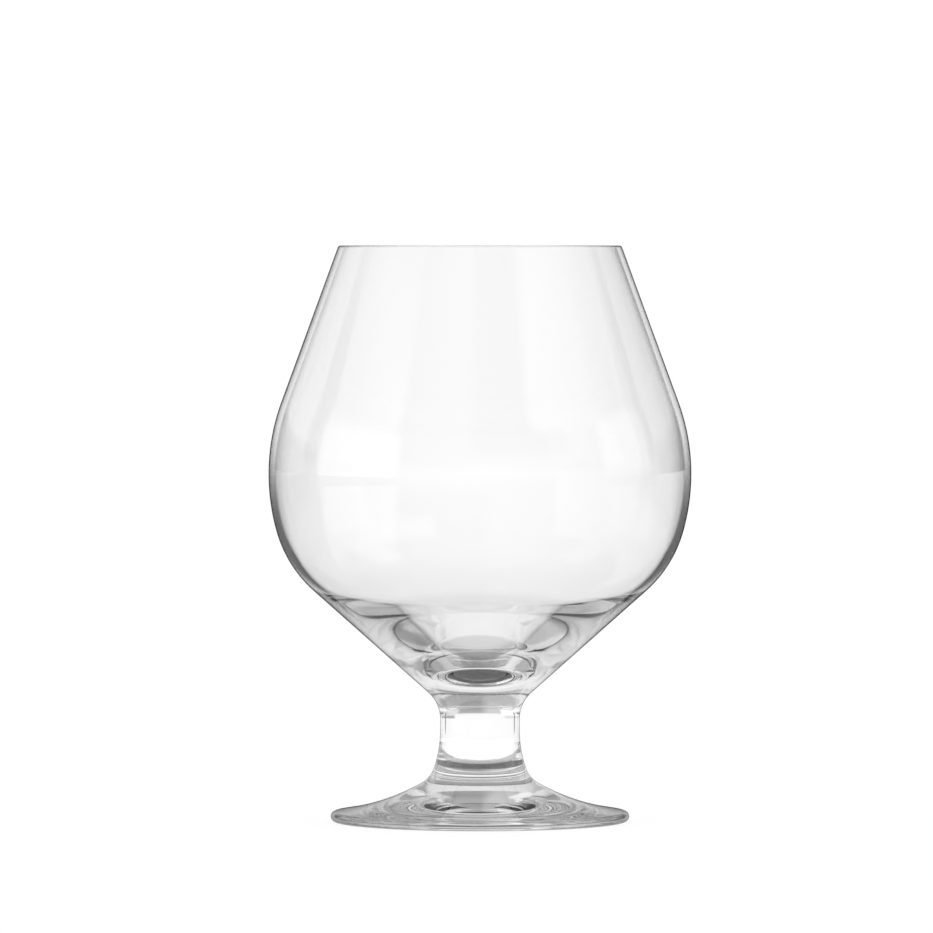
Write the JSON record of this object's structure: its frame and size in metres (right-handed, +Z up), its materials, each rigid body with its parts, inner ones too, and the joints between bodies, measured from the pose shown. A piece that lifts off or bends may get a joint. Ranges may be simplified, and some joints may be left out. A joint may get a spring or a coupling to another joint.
{
  "type": "brandy snifter",
  "caption": "Clear stemmed balloon glass: wide round bowl narrowing to the mouth, thick solid cone, short solid stem, disc foot.",
  "frame": {"origin": "centre of the foot's standing ring, on the surface that the glass stands on", "axes": "+Z up along the axis of the glass, from the foot to the mouth; round about Z, so X and Y are any two square directions"},
  "size_m": [0.103, 0.103, 0.1403],
  "materials": {
    "bowl_glass": "blown, fire polished, clear",
    "stem_glass": "pressed, fire polished, clear",
    "foot_glass": "pressed, fire polished, clear"
  },
  "bodies": {
    "root": {"bowl": "bowl_glass", "stem": "stem_glass", "foot": "foot_glass"}
  },
  "joints": []
}
